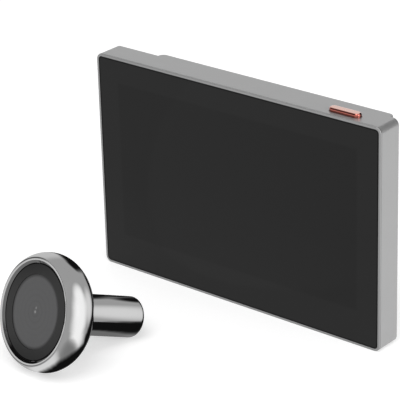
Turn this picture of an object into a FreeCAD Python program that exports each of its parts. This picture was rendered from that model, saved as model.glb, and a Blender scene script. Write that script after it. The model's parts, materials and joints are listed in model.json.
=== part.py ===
"""Wireless door viewer: an indoor screen unit and the camera unit of its peephole.

Millimetres, Z up. The screen faces -Y. The origin is the middle of the screen's foot, and the
camera unit lies on the same surface, on the rim of its head and the end of its tube.
"""
import FreeCAD, Part
import math
import os
import re
import Sketcher

from FreeCAD import Placement, Rotation, Vector

# Every size that can be set by itself, in millimetres or degrees.
SIZES = {
    # Screen housing
    "body_depth": 9.25,
    "corner_radius": 2.2,
    "wall": 1.5,
    "block_depth": 11.65,
    "block_inset_left": 18.2,
    "block_inset_right": 2.9,
    "block_bottom": 12.0,
    "block_round": 2.0,
    "back_round": 0.4,
    # Bezel and glass
    "bezel_band": 0.4,
    "bezel_edge": 0.22,
    "bezel_ledge": 0.7,
    "rebate_wall": 0.45,
    "fit_gap": 0.06,
    "lip_width": 0.85,
    "glass_thickness": 1.0,
    "glass_corner": 1.3,
    "tape_thickness": 0.2,
    "tape_clear": 0.19,
    "tape_inset": 0.45,
    "tab_width": 8.0,
    "tab_thickness": 0.8,
    "tab_reach": 2.0,
    "tab_pitch": 28.0,
    "tab_first": -42.0,
    "tab_hook": 0.35,
    "tab_hook_depth": 0.7,
    # Display module: its lit area, the dark borders round that, and the housing's margins round the module
    "active_width": 95.0,
    "active_height": 53.9,
    "border_side": 5.25,
    "border_top": 4.95,
    "border_foot": 8.35,
    "margin_side": 3.55,
    "margin_end": 3.8,
    "module_gap": 0.2,
    "polariser": 0.12,
    "panel_thickness": 1.3,
    "backlight_thickness": 1.6,
    "ribbon_width": 22.0,
    "ribbon_thickness": 0.15,
    "ribbon_sag": 0.9,
    "ribbon_x": -4.0,
    "ribbon_step": 2.0,
    "tray_wall": 0.3,
    # Main board
    "board_gap": 0.3,
    "board_thickness": 0.8,
    "board_inset": 5.3,
    "board_bottom": 2.2,
    "board_round": 1.0,
    "board_head_height": 0.28,
    "boss_radius": 2.1,
    "boss_inset": 3.4,
    "low_boss_z": 6.2,
    "screw_radius": 0.8,
    "screw_length": 2.6,
    "screw_head_radius": 1.6,
    "screw_head_height": 0.9,
    "shield_side": 19.0,
    "shield_height": 1.7,
    "shield_wall": 0.25,
    "processor_side": 13.0,
    "column_inset": 15.0,
    "shield_z": 37.0,
    "column_gap": 0.5,
    "radio_width": 12.0,
    "radio_height": 15.0,
    "radio_z": 30.0,
    "chip_width": 8.0,
    "chip_height": 10.0,
    "chip_thickness": 1.0,
    "chip_z": 47.0,
    "connector_inset": 1.2,
    "connector_width": 3.6,
    "connector_thickness": 1.1,
    "connector_gap": 2.2,
    "connector_height": 8.0,
    "battery_plug_inset": 3.8,
    "battery_plug_drop": 12.5,
    "battery_plug_width": 4.5,
    "battery_plug_height": 6.5,
    "battery_plug_thickness": 2.0,
    # Openings in the foot and the parts behind them, in a row between the two low bosses
    "foot_gap": 2.1,
    "usb_width": 7.6,
    "usb_thickness": 2.5,
    "usb_length": 5.2,
    "usb_wall": 0.3,
    "usb_tongue": 5.0,
    "port_gap": 0.25,
    "card_width": 12.0,
    "card_thickness": 1.4,
    "card_length": 14.5,
    "card_slot_width": 11.4,
    "card_slot_thickness": 1.0,
    "card_stop": 1.5,
    "mic_width": 3.0,
    "mic_thickness": 1.0,
    "mic_hole": 0.6,
    # Battery, loudspeaker, antenna
    "battery_inset": 5.9,
    "battery_board_gap": 2.0,
    "battery_foot_gap": 2.0,
    "battery_top_gap": 5.8,
    "battery_thickness": 4.4,
    "battery_round": 1.8,
    "pad_thickness": 0.5,
    "speaker_x": -19.0,
    "speaker_width": 20.0,
    "speaker_height": 9.0,
    "speaker_gap": 0.5,
    "speaker_thickness": 2.6,
    "grille_hole": 0.7,
    "grille_pitch": 2.2,
    "antenna_inset": 9.8,
    "antenna_z": 44.0,
    "antenna_width": 8.0,
    "antenna_height": 32.0,
    "antenna_thickness": 0.3,
    # Fixing slots and the camera's socket at the back
    "hook_slot_width": 3.2,
    "hook_slot_length": 9.0,
    "hook_slot_inset": 5.2,
    "hook_slot_drop": 22.8,
    "socket_drop": 9.5,
    "socket_width": 11.0,
    "socket_height": 4.5,
    "socket_reach": 3.2,
    "socket_wall": 0.7,
    "socket_opening_width": 15.0,
    "socket_opening_height": 8.0,
    # Power button
    "button_inset": 15.6,
    "button_depth": 3.6,
    "button_length": 11.4,
    "button_width": 3.0,
    "button_proud": 1.35,
    "button_round": 0.75,
    "button_travel": 0.5,
    "button_gap": 0.12,
    "flange_reach": 1.4,
    "flange_height": 0.6,
    "plunger_radius": 0.6,
    "plunger_gap": 0.15,
    "plunger_depth": 5.2,
    "plunger_length": 1.6,
    "switch_width": 6.0,
    "switch_height": 3.4,
    "switch_thickness": 2.2,
    "switch_drop": 1.15,
    "switch_lug": 1.0,
    # Camera head and tube, along the camera's own axis
    "head_radius": 18.5,
    "bulge_radius": 8.4,
    "crest_height": 5.1,
    "crest_round": 0.5,
    "rim_width": 3.5,
    "bevel_width": 1.0,
    "bevel_depth": 0.8,
    "seat_depth": 2.1,
    "seat_width": 1.8,
    "back_cut": 0.4,
    "floor_thickness": 2.0,
    "tube_radius": 6.5,
    "tube_bore": 4.4,
    "collar_step": 0.7,
    "tube_reach": 34.5,
    "tube_round": 1.7,
    "tube_flange_gap": 0.3,
    "tube_flange_height": 0.8,
    "gasket_thickness": 0.8,
    "gasket_margin": 0.6,
    # Window, lens and camera board
    "ring_width": 3.5,
    "window_thickness": 1.0,
    "window_sink": 0.12,
    "window_ledge": 0.8,
    "seal_thickness": 0.3,
    "seal_width": 1.4,
    "camera_fit": 0.05,
    "camera_board_play": 0.5,
    "camera_board_thickness": 1.0,
    "camera_board_gap": 1.0,
    "camera_boss_radius": 1.7,
    "holder_side": 13.0,
    "holder_height": 1.6,
    "sensor_width": 6.4,
    "sensor_height": 5.2,
    "sensor_thickness": 0.9,
    "sensor_gap": 0.25,
    "barrel_radius": 5.6,
    "window_air": 0.68,
    "barrel_wall": 0.7,
    "front_lens_radius": 4.0,
    "front_lens_thickness": 1.3,
    "rear_lens_thickness": 0.9,
    "shroud_wall": 1.1,
    "led_circle": 9.4,
    "led_radius": 0.9,
    "led_height": 1.8,
    "led_base": 1.2,
    "plug_width": 7.0,
    "plug_height": 3.0,
    # Where the camera unit lies in front of the screen
    "camera_left": 21.2,
    "camera_ahead": 66.3,
    "camera_turn": 13.0,
}
CAMERA_SCREWS = 3
INFRARED_LEDS = 6
TAB_COUNT = 3
GRILLE_HOLES = 5

doc = FreeCAD.newDocument("door_viewer")
sheet = doc.addObject("Spreadsheet::Sheet", "Sizes")
for row, (alias, value) in enumerate(SIZES.items(), start=1):
    sheet.set(f"A{row}", alias)
    sheet.set(f"B{row}", str(value))
    sheet.setAlias(f"B{row}", alias)
working = doc.addObject("Spreadsheet::Sheet", "Working")
doc.recompute()

# The screen unit's size follows from its display.
MODULE_WIDTH = "(active_width + 2 * border_side)"
MODULE_HEIGHT = "(active_height + border_foot + border_top)"
BODY_WIDTH = f"({MODULE_WIDTH} + 2 * margin_side)"
BODY_HEIGHT = f"({MODULE_HEIGHT} + 2 * margin_end)"
HALF_WIDTH = f"({BODY_WIDTH} / 2)"

# Places across the depth of the screen unit, counted along Y from the middle of the foot.
FRONT = "(-body_depth / 2)"
BAND_BACK = f"({FRONT} + bezel_band)"
GLASS_BACK = f"({FRONT} + glass_thickness)"
TAPE_BACK = f"({GLASS_BACK} + tape_thickness)"
BEZEL_BACK = f"({TAPE_BACK} + bezel_ledge)"
PANEL_BACK = f"({GLASS_BACK} + panel_thickness)"
MODULE_BACK = f"({PANEL_BACK} + backlight_thickness)"
BOARD_FRONT = f"({MODULE_BACK} + board_gap)"
BOARD_BACK = f"({BOARD_FRONT} + board_thickness)"
BODY_BACK = f"({FRONT} + body_depth)"
BODY_INNER = f"({BODY_BACK} - wall)"
BLOCK_BACK = f"({FRONT} + block_depth)"
BLOCK_INNER = f"({BLOCK_BACK} - wall)"
RIBBON_FRONT = f"({BEZEL_BACK} + fit_gap)"

# Places across its width and height.
TOP_INNER = f"({BODY_HEIGHT} - wall)"
SIDE_INNER = f"({HALF_WIDTH} - wall)"
BLOCK_LEFT = f"(block_inset_left - {HALF_WIDTH})"
BLOCK_RIGHT = f"({HALF_WIDTH} - block_inset_right)"
HOOK_LEFT = f"({BLOCK_LEFT} + hook_slot_inset)"
HOOK_RIGHT = f"({BLOCK_RIGHT} - hook_slot_inset)"
HOOK_Z = f"({BODY_HEIGHT} - hook_slot_drop)"
BUTTON_X = f"({HALF_WIDTH} - button_inset)"
BUTTON_Y = f"({FRONT} + button_depth)"
FLANGE_FOOT = f"({TOP_INNER} - flange_height)"
PLUNGER_Y = f"({FRONT} + plunger_depth)"
SWITCH_FOOT = f"({FLANGE_FOOT} - switch_drop - switch_height)"

# The board's right edge and top follow the housing, and its left edge the row of parts along its foot.
BOARD_RIGHT = f"({HALF_WIDTH} - board_inset)"
BOARD_TOP = f"({BODY_HEIGHT} - board_inset)"
RIGHT_SCREW = f"({BOARD_RIGHT} - boss_inset)"
USB_X = f"({RIGHT_SCREW} - boss_radius - foot_gap - usb_width / 2)"
MIC_X = f"({USB_X} - usb_width / 2 - foot_gap - mic_width / 2)"
CARD_X = f"({MIC_X} - mic_width / 2 - foot_gap - card_width / 2)"
LEFT_SCREW = f"({CARD_X} - card_width / 2 - foot_gap - boss_radius)"
BOARD_LEFT = f"({LEFT_SCREW} - boss_inset)"
TOP_SCREWS = f"({BOARD_TOP} - boss_inset)"
CONNECTOR_Z = "(low_boss_z + boss_radius + connector_gap)"
COLUMN_X = f"({BOARD_RIGHT} - column_inset)"
SOCKET_Z = f"({BOARD_TOP} - socket_drop)"
RADIO_X = f"({COLUMN_X} - shield_side / 2 - column_gap - radio_width / 2)"
BATTERY_PLUG_X = f"({BOARD_LEFT} + battery_plug_inset)"
BATTERY_PLUG_Z = f"({BOARD_TOP} - battery_plug_drop)"
BATTERY_LEFT = f"({HOOK_LEFT} + battery_inset)"
BATTERY_RIGHT = f"({BOARD_LEFT} - battery_board_gap)"
BATTERY_FOOT = "(block_bottom + wall + battery_foot_gap)"
BATTERY_TOP = f"({TOP_INNER} - battery_top_gap)"
SPEAKER_Z = "(wall + speaker_gap + speaker_height / 2)"
ANTENNA_X = f"(antenna_inset - {HALF_WIDTH})"

# Radii of the camera unit, and heights along its axis from the plane of the head's widest circle.
BULGE_CENTRE = "(head_radius - bulge_radius)"
RING_RADIUS = "(head_radius - rim_width)"
CREST_RADIUS = f"({RING_RADIUS} + bevel_width)"
CAVITY_RADIUS = f"({RING_RADIUS} - seat_width)"
WINDOW_RADIUS = f"({RING_RADIUS} - ring_width)"
CAMERA_BOARD_RADIUS = f"({CAVITY_RADIUS} - camera_board_play)"
CAMERA_BOSS_CIRCLE = f"({CAMERA_BOARD_RADIUS} - camera_boss_radius)"
COLLAR_RADIUS = "(tube_radius + collar_step)"
FLANGE_RADIUS = f"({CAMERA_BOSS_CIRCLE} - camera_boss_radius - tube_flange_gap)"
BACK_DEPTH = "(bulge_radius - back_cut)"
GASKET_BACK = f"(-1 * {BACK_DEPTH} - gasket_thickness)"
FLOOR_TOP = f"(floor_thickness - {BACK_DEPTH})"
FLANGE_TOP = f"({FLOOR_TOP} + tube_flange_height)"
CAMERA_BOARD_BACK = f"({FLANGE_TOP} + camera_board_gap)"
CAMERA_BOARD_TOP = f"({CAMERA_BOARD_BACK} + camera_board_thickness)"
FACE_HEIGHT = "(crest_height - bevel_depth)"
SEAT_HEIGHT = f"({FACE_HEIGHT} - seat_depth)"
WINDOW_TOP = f"({FACE_HEIGHT} - window_sink)"
WINDOW_BACK = f"({WINDOW_TOP} - window_thickness)"
BARREL_TOP = f"({WINDOW_BACK} - window_air)"

nodes = []


def bound(text):
    """An expression in which each size name reads its cell of the sheet."""
    return re.sub(r"[a-z_]+", lambda word: "Sizes." + word.group() if word.group() in SIZES
                  else word.group(), str(text))


def number(text):
    """The present value of an expression, worked out in a cell of a second sheet."""
    working.set("A1", "=" + bound(text))
    working.recompute()
    return float(working.get("A1"))


def node(obj, name):
    """Marks a finished sub-part and gives it its name."""
    obj.Label = name
    nodes.append(obj)
    return obj


def place(obj, x, y, z):
    for axis, text in zip("xyz", (x, y, z)):
        obj.setExpression("Placement.Base." + axis, bound(text))


def block(name, x, y, z, length, width, height):
    """A box from its lowest corner."""
    box = doc.addObject("Part::Box", name)
    box.setExpression("Length", bound(length))
    box.setExpression("Width", bound(width))
    box.setExpression("Height", bound(height))
    place(box, x, y, z)
    return box


def rod(name, x, y, z, radius, height, axis="z"):
    """A cylinder that starts at a point and runs up the named axis."""
    turns = {"x": Rotation(Vector(0, 1, 0), 90), "y": Rotation(Vector(1, 0, 0), -90), "z": Rotation()}
    cylinder = doc.addObject("Part::Cylinder", name)
    cylinder.setExpression("Radius", bound(radius))
    cylinder.setExpression("Height", bound(height))
    cylinder.Placement = Placement(Vector(), turns[axis])
    place(cylinder, x, y, z)
    return cylinder


def joined(name, *pieces):
    fusion = doc.addObject("Part::MultiFuse", name)
    fusion.Shapes = list(pieces)
    return fusion


def cut(name, base, *tools):
    tool = tools[0] if len(tools) == 1 else joined(name + "_tools", *tools)
    result = doc.addObject("Part::Cut", name)
    result.Base = base
    result.Tool = tool
    return result


def group(name, pieces):
    """Separate solids of one kind that share a node."""
    compound = doc.addObject("Part::Compound", name)
    compound.Links = list(pieces)
    return node(compound, name)


def new_body(name):
    return node(doc.addObject("PartDesign::Body", name), name)


def new_sketch(body, name, role, offset="0"):
    """A sketch on one of the body's own planes; XZ sketches sit at Y = offset."""
    sketch = body.newObject("Sketcher::SketchObject", name)
    plane = next(item for item in body.Origin.OriginFeatures if item.Role == role)
    sketch.AttachmentSupport = [(plane, "")]
    sketch.MapMode = "FlatFace"
    sign = "-1 * " if role == "XZ_Plane" else ""
    sketch.setExpression("AttachmentOffset.Base.z", bound(f"{sign}({offset})"))
    return sketch


def hold(sketch, constraint, name, text):
    """Adds a named constraint whose value follows an expression."""
    index = sketch.addConstraint(constraint)
    sketch.renameConstraint(index, name)
    sketch.setExpression("Constraints." + name, bound(text))


def add_rectangle(sketch, left, right, low, high, tag=""):
    values = [number(text) for text in (left, right, low, high)]
    corners = [Vector(values[0], values[2], 0), Vector(values[1], values[2], 0),
               Vector(values[1], values[3], 0), Vector(values[0], values[3], 0)]
    first = sketch.GeometryCount
    for index in range(4):
        sketch.addGeometry(Part.LineSegment(corners[index], corners[(index + 1) % 4]), False)
    for index in range(4):
        following = first + (index + 1) % 4
        sketch.addConstraint(Sketcher.Constraint("Coincident", first + index, 2, following, 1))
        level = "Horizontal" if index % 2 == 0 else "Vertical"
        sketch.addConstraint(Sketcher.Constraint(level, first + index))
    for kind, point, name, text, value in (
            ("DistanceX", first, "left", left, values[0]),
            ("DistanceX", first + 1, "right", right, values[1]),
            ("DistanceY", first, "low", low, values[2]), ("DistanceY", first + 2, "high", high, values[3])):
        hold(sketch, Sketcher.Constraint(kind, -1, 1, point, 1, value), name + tag, text)


def add_round_rectangle(sketch, left, right, low, high, radius):
    """A rectangle whose corners are arcs of one radius."""
    x_low, x_high, y_low, y_high = (number(text) for text in (left, right, low, high))
    turn = number(radius)
    centres = (Vector(x_high - turn, y_low + turn, 0), Vector(x_high - turn, y_high - turn, 0),
               Vector(x_low + turn, y_high - turn, 0), Vector(x_low + turn, y_low + turn, 0))
    arcs = []
    for index, centre in enumerate(centres):
        start = (index - 1) * math.pi / 2
        circle = Part.Circle(centre, Vector(0, 0, 1), turn)
        arcs.append(sketch.addGeometry(Part.ArcOfCircle(circle, start, start + math.pi / 2), False))
    lines = []
    for index, arc in enumerate(arcs):
        following = arcs[(index + 1) % 4]
        line = sketch.addGeometry(
            Part.LineSegment(sketch.getPoint(arc, 2), sketch.getPoint(following, 1)), False)
        sketch.addConstraint(Sketcher.Constraint("Tangent", arc, 2, line, 1))
        sketch.addConstraint(Sketcher.Constraint("Tangent", line, 2, following, 1))
        sketch.addConstraint(Sketcher.Constraint("Vertical" if index % 2 == 0 else "Horizontal", line))
        lines.append(line)
    hold(sketch, Sketcher.Constraint("Radius", arcs[0], turn), "turn", radius)
    for arc in arcs[1:]:
        sketch.addConstraint(Sketcher.Constraint("Equal", arcs[0], arc))
    for kind, line, name, text, value in (
            ("DistanceX", lines[0], "right", right, x_high), ("DistanceY", lines[1], "high", high, y_high),
            ("DistanceX", lines[2], "left", left, x_low), ("DistanceY", lines[3], "low", low, y_low)):
        hold(sketch, Sketcher.Constraint(kind, -1, 1, line, 1, value), name, text)


def add_circle(sketch, x, y, radius, tag=""):
    centre = Vector(number(x), number(y), 0)
    index = sketch.addGeometry(Part.Circle(centre, Vector(0, 0, 1), number(radius)), False)
    hold(sketch, Sketcher.Constraint("Radius", index, number(radius)), "radius" + tag, radius)
    hold(sketch, Sketcher.Constraint("DistanceX", -1, 1, index, 3, centre.x), "across" + tag, x)
    hold(sketch, Sketcher.Constraint("DistanceY", -1, 1, index, 3, centre.y), "up" + tag, y)


def add_slot(sketch, x, y, length, width, upright=False):
    """A slot with round ends, centred at a point, along the sketch's first or second axis."""
    middle = Vector(number(x), number(y), 0)
    radius = number(width) / 2
    half = number(length) / 2 - radius
    along = Vector(0, 1, 0) if upright else Vector(1, 0, 0)
    ends = (middle - along * half, middle + along * half)
    start = math.pi if upright else math.pi / 2
    arcs = []
    for end, angle in zip(ends, (start, start + math.pi)):
        circle = Part.Circle(end, Vector(0, 0, 1), radius)
        arcs.append(sketch.addGeometry(Part.ArcOfCircle(circle, angle, angle + math.pi), False))
    for first, second in ((arcs[0], arcs[1]), (arcs[1], arcs[0])):
        start_point = sketch.getPoint(first, 2)
        line = sketch.addGeometry(Part.LineSegment(start_point, sketch.getPoint(second, 1)), False)
        sketch.addConstraint(Sketcher.Constraint("Tangent", first, 2, line, 1))
        sketch.addConstraint(Sketcher.Constraint("Tangent", line, 2, second, 1))
    hold(sketch, Sketcher.Constraint("Radius", arcs[0], radius), "round", f"({width}) / 2")
    reach = f"(({length}) - ({width})) / 2"
    near, far = (y, x) if upright else (x, y)
    run, level = ("DistanceY", "DistanceX") if upright else ("DistanceX", "DistanceY")
    hold(sketch, Sketcher.Constraint(run, -1, 1, arcs[0], 3, number(f"({near}) - {reach}")), "first",
         f"({near}) - {reach}")
    hold(sketch, Sketcher.Constraint(run, -1, 1, arcs[1], 3, number(f"({near}) + {reach}")), "second",
         f"({near}) + {reach}")
    for index, arc in enumerate(arcs):
        hold(sketch, Sketcher.Constraint(level, -1, 1, arc, 3, number(far)), f"level{index}", far)


def add_profile(sketch, points):
    """A closed outline of straight sides through points given as pairs of expressions."""
    spots = [Vector(number(x), number(y), 0) for x, y in points]
    count = len(spots)
    first = sketch.GeometryCount
    for index in range(count):
        sketch.addGeometry(Part.LineSegment(spots[index], spots[(index + 1) % count]), False)
    for index, (x, y) in enumerate(points):
        sketch.addConstraint(Sketcher.Constraint("Coincident", first + index, 2,
                                                 first + (index + 1) % count, 1))
        hold(sketch, Sketcher.Constraint("DistanceX", -1, 1, first + index, 1, spots[index].x),
             f"across{index}", x)
        hold(sketch, Sketcher.Constraint("DistanceY", -1, 1, first + index, 1, spots[index].y),
             f"up{index}", y)


def pad(body, name, sketch, length):
    """Material from the sketch forwards: an XZ sketch grows towards the front."""
    feature = body.newObject("PartDesign::Pad", name)
    feature.Profile = sketch
    feature.setExpression("Length", bound(length))
    doc.recompute()
    return feature


def pocket(body, name, sketch, length):
    """A cut from the sketch backwards: an XZ sketch is cut towards the rear."""
    before = body.Shape.Volume
    feature = body.newObject("PartDesign::Pocket", name)
    feature.Profile = sketch
    feature.setExpression("Length", bound(length))
    doc.recompute()
    if body.Shape.Volume >= before:
        raise RuntimeError(name + " cuts nothing")
    return feature


def revolve(body, name, sketch, axis="V_Axis"):
    feature = body.newObject("PartDesign::Revolution", name)
    feature.Profile = sketch
    feature.ReferenceAxis = (sketch, [axis])
    feature.Angle = 360
    doc.recompute()
    return feature


def dress(body, name, kind, base, size, wanted):
    """A fillet or chamfer on the edges that a test picks."""
    edges = [f"Edge{index}" for index, edge in enumerate(base.Shape.Edges, start=1) if wanted(edge)]
    if not edges:
        raise RuntimeError(name + " has no edges")
    feature = body.newObject("PartDesign::" + kind, name)
    feature.Base = (base, edges)
    feature.setExpression("Radius" if kind == "Fillet" else "Size", bound(size))
    doc.recompute()
    if "Invalid" in feature.State:
        raise RuntimeError(name + " failed")
    return feature


def straight(edge, axis):
    """Whether an edge is a line along the named axis."""
    if not isinstance(edge.Curve, Part.Line):
        return False
    along = edge.Curve.Direction
    return abs(getattr(along, axis)) > 0.999


def row(body, name, features, pitch, count, axis):
    """Copies of features in a line along one of the body's axes."""
    pattern = body.newObject("PartDesign::LinearPattern", name)
    pattern.Originals = features
    line = next(item for item in body.Origin.OriginFeatures if item.Role == axis)
    pattern.Direction = (line, [""])
    pattern.setExpression("Length", bound(f"{pitch} * {count - 1}"))
    pattern.Occurrences = count
    body.Tip = pattern
    doc.recompute()
    return pattern


def make_housing():
    """The silver tub: walls and back in one piece, with the raised block of the battery."""
    body = new_body("rear_housing")
    outline = new_sketch(body, "housing_outline", "XZ_Plane", BODY_BACK)
    add_rectangle(outline, f"-1 * {HALF_WIDTH}", HALF_WIDTH, "0", BODY_HEIGHT)
    shell = pad(body, "housing_shell", outline, "body_depth - bezel_band")
    dress(body, "housing_corners", "Fillet", shell, "corner_radius", lambda edge: straight(edge, "y"))

    outline = new_sketch(body, "block_outline", "XZ_Plane", BLOCK_BACK)
    add_rectangle(outline, BLOCK_LEFT, BLOCK_RIGHT, "block_bottom", BODY_HEIGHT)
    raised = pad(body, "raised_block", outline, "block_depth - body_depth + wall / 2")
    back, foot, top = number(BLOCK_BACK), number("block_bottom"), number(BODY_HEIGHT)
    dress(body, "block_edges", "Fillet", raised, "block_round", lambda edge: (
        abs(edge.CenterOfMass.y - back) < 0.01
        and (straight(edge, "z") or (straight(edge, "x") and abs(edge.CenterOfMass.z - foot) < 0.01))))
    outer = next(item for item in body.Group if item.Name == "block_edges")
    dress(body, "block_top_edge", "Fillet", outer, "back_round", lambda edge: (
        abs(edge.CenterOfMass.y - back) < 0.01 and straight(edge, "x")
        and abs(edge.CenterOfMass.z - top) < 0.01))

    cavity = new_sketch(body, "cavity_outline", "XZ_Plane", BAND_BACK)
    add_rectangle(cavity, f"-1 * {SIDE_INNER}", SIDE_INNER, "wall", TOP_INNER)
    pocket(body, "cavity", cavity, f"{BODY_INNER} - {BAND_BACK}")
    deep = new_sketch(body, "battery_bay_outline", "XZ_Plane", f"{BODY_INNER} - wall")
    add_rectangle(deep, f"{BLOCK_LEFT} + wall", f"{BLOCK_RIGHT} - wall", "block_bottom + wall", TOP_INNER)
    pocket(body, "battery_bay", deep, "block_depth - body_depth + wall")
    rebate = new_sketch(body, "rebate_outline", "XZ_Plane", BAND_BACK)
    add_round_rectangle(rebate, f"rebate_wall - {HALF_WIDTH}", f"{HALF_WIDTH} - rebate_wall",
                        "rebate_wall", f"{BODY_HEIGHT} - rebate_wall", "corner_radius - rebate_wall")
    pocket(body, "rebate", rebate, f"{BEZEL_BACK} + fit_gap - {BAND_BACK}")

    add_tab_grooves(body)
    add_board_bosses(body)
    add_foot_openings(body)
    add_back_openings(body)
    slot = new_sketch(body, "button_slot_outline", "XY_Plane", BODY_HEIGHT)
    add_slot(slot, BUTTON_X, BUTTON_Y, "button_length + 2 * button_gap", "button_width + 2 * button_gap")
    pocket(body, "button_slot", slot, "wall + button_gap")


def add_tab_grooves(body):
    """Grooves in the top and bottom walls that hold the bezel's snap tabs."""
    front = f"{BEZEL_BACK} + tab_reach - tab_hook_depth - fit_gap"
    outline = new_sketch(body, "groove_outline", "XZ_Plane", front)
    left, right = "tab_first - tab_width / 2 - fit_gap", "tab_first + tab_width / 2 + fit_gap"
    add_rectangle(outline, left, right, f"{TOP_INNER} - fit_gap", f"{TOP_INNER} + tab_hook", "_top")
    add_rectangle(outline, left, right, "wall - tab_hook", "wall + fit_gap", "_foot")
    groove = pocket(body, "tab_groove", outline, "tab_hook_depth + 2 * fit_gap")
    row(body, "tab_grooves", [groove], "tab_pitch", TAB_COUNT, "X_Axis")


def add_board_bosses(body):
    """Four screw bosses: two in the battery bay and two low ones beside the foot openings."""
    for place_name, height, back in (("upper", TOP_SCREWS, BLOCK_INNER),
                                     ("lower", "low_boss_z", BODY_INNER)):
        root = f"{back} + wall / 2"
        circles = new_sketch(body, place_name + "_boss_outline", "XZ_Plane", root)
        holes = new_sketch(body, place_name + "_pilot_outline", "XZ_Plane", BOARD_BACK)
        for side, x in (("left", LEFT_SCREW), ("right", RIGHT_SCREW)):
            add_circle(circles, x, height, "boss_radius", "_" + side)
            add_circle(holes, x, height, "screw_radius", "_" + side)
        pad(body, place_name + "_bosses", circles, f"{root} - {BOARD_BACK}")
        pocket(body, place_name + "_pilots", holes, "screw_length - board_thickness")


def add_foot_openings(body):
    """The charging port, memory card slot and microphone hole in the bottom wall."""
    usb = new_sketch(body, "usb_opening_outline", "XY_Plane", "wall + fit_gap")
    add_slot(usb, USB_X, f"{BOARD_BACK} + usb_thickness / 2", "usb_width + 2 * port_gap",
             "usb_thickness + 2 * port_gap")
    pocket(body, "usb_opening", usb, "wall + 2 * fit_gap")
    card = new_sketch(body, "card_opening_outline", "XY_Plane", "wall + fit_gap")
    add_slot(card, CARD_X, f"{BOARD_BACK} + card_thickness / 2", "card_slot_width + 2 * port_gap",
             "card_slot_thickness + port_gap")
    pocket(body, "card_opening", card, "wall + 2 * fit_gap")
    sound = new_sketch(body, "mic_opening_outline", "XY_Plane", "wall + fit_gap")
    add_circle(sound, MIC_X, f"{BOARD_BACK} + mic_thickness / 2", "mic_hole")
    pocket(body, "mic_opening", sound, "wall + 2 * fit_gap")


def add_back_openings(body):
    """Two slots for the door bracket's hooks, the camera's socket and the sound holes."""
    hooks = new_sketch(body, "hook_slot_outline", "XZ_Plane", f"{BLOCK_INNER} - fit_gap")
    add_slot(hooks, HOOK_LEFT, HOOK_Z, "hook_slot_length", "hook_slot_width", upright=True)
    slot = pocket(body, "hook_slot", hooks, "wall + 2 * fit_gap")
    row(body, "hook_slots", [slot], f"({HOOK_RIGHT} - {HOOK_LEFT})", 2, "X_Axis")
    socket = new_sketch(body, "socket_opening_outline", "XZ_Plane", f"{BLOCK_INNER} - fit_gap")
    add_rectangle(socket, f"{COLUMN_X} - socket_opening_width / 2",
                  f"{COLUMN_X} + socket_opening_width / 2",
                  f"{SOCKET_Z} - socket_opening_height / 2", f"{SOCKET_Z} + socket_opening_height / 2")
    pocket(body, "socket_opening", socket, "wall + 2 * fit_gap")
    grille = new_sketch(body, "grille_outline", "XZ_Plane", f"{BODY_INNER} - fit_gap")
    add_circle(grille, f"speaker_x - {(GRILLE_HOLES - 1) / 2} * grille_pitch", SPEAKER_Z, "grille_hole")
    sound = pocket(body, "grille_hole", grille, "wall + 2 * fit_gap")
    row(body, "grille", [sound], "grille_pitch", GRILLE_HOLES, "X_Axis")


def make_bezel():
    """The ring that carries the glass: a thin lip in front, a ledge behind and six snap tabs."""
    body = new_body("front_bezel")
    outline = new_sketch(body, "band_outline", "XZ_Plane", BAND_BACK)
    add_rectangle(outline, f"-1 * {HALF_WIDTH}", HALF_WIDTH, "0", BODY_HEIGHT)
    band = pad(body, "band", outline, "bezel_band")
    rounded = dress(body, "band_corners", "Fillet", band, "corner_radius", lambda edge: straight(edge, "y"))
    front = number(FRONT)
    dress(body, "band_edge", "Fillet", rounded, "bezel_edge",
          lambda edge: edge.BoundBox.YMax < front + 0.01)
    skirt_inset = "(rebate_wall + fit_gap)"
    outline = new_sketch(body, "skirt_outline", "XZ_Plane", BEZEL_BACK)
    add_round_rectangle(outline, f"{skirt_inset} - {HALF_WIDTH}", f"{HALF_WIDTH} - {skirt_inset}",
                        skirt_inset, f"{BODY_HEIGHT} - {skirt_inset}", f"corner_radius - {skirt_inset}")
    pad(body, "skirt", outline, f"{BEZEL_BACK} - {BAND_BACK} + bezel_band / 4")
    outline = new_sketch(body, "recess_outline", "XZ_Plane", FRONT)
    add_round_rectangle(outline, f"lip_width - {HALF_WIDTH}", f"{HALF_WIDTH} - lip_width",
                        "lip_width", f"{BODY_HEIGHT} - lip_width", "glass_corner")
    pocket(body, "glass_recess", outline, "glass_thickness + tape_thickness")
    outline = new_sketch(body, "display_window_outline", "XZ_Plane", FRONT)
    add_rectangle(outline, f"-{MODULE_WIDTH} / 2 - module_gap", f"{MODULE_WIDTH} / 2 + module_gap",
                  "margin_end - module_gap", f"{BODY_HEIGHT} - margin_end + module_gap")
    pocket(body, "display_window", outline, f"{BEZEL_BACK} - {FRONT} + fit_gap")

    left, right = "tab_first - tab_width / 2", "tab_first + tab_width / 2"
    tab_back = f"{BEZEL_BACK} + tab_reach"
    outline = new_sketch(body, "tab_outline", "XZ_Plane", tab_back)
    add_rectangle(outline, left, right, f"{TOP_INNER} - fit_gap - tab_thickness",
                  f"{TOP_INNER} - fit_gap", "_top")
    add_rectangle(outline, left, right, "wall + fit_gap", "wall + fit_gap + tab_thickness", "_foot")
    tab = pad(body, "tab", outline, "tab_reach + bezel_ledge / 2")
    outline = new_sketch(body, "hook_outline", "XZ_Plane", tab_back)
    add_rectangle(outline, left, right, f"{TOP_INNER} - fit_gap - tab_thickness / 2",
                  f"{TOP_INNER} - fit_gap + tab_hook", "_top")
    add_rectangle(outline, left, right, "wall + fit_gap - tab_hook", "wall + fit_gap + tab_thickness / 2",
                  "_foot")
    hook = pad(body, "tab_hook_pad", outline, "tab_hook_depth")
    row(body, "tabs", [tab, hook], "tab_pitch", TAB_COUNT, "X_Axis")


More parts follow.
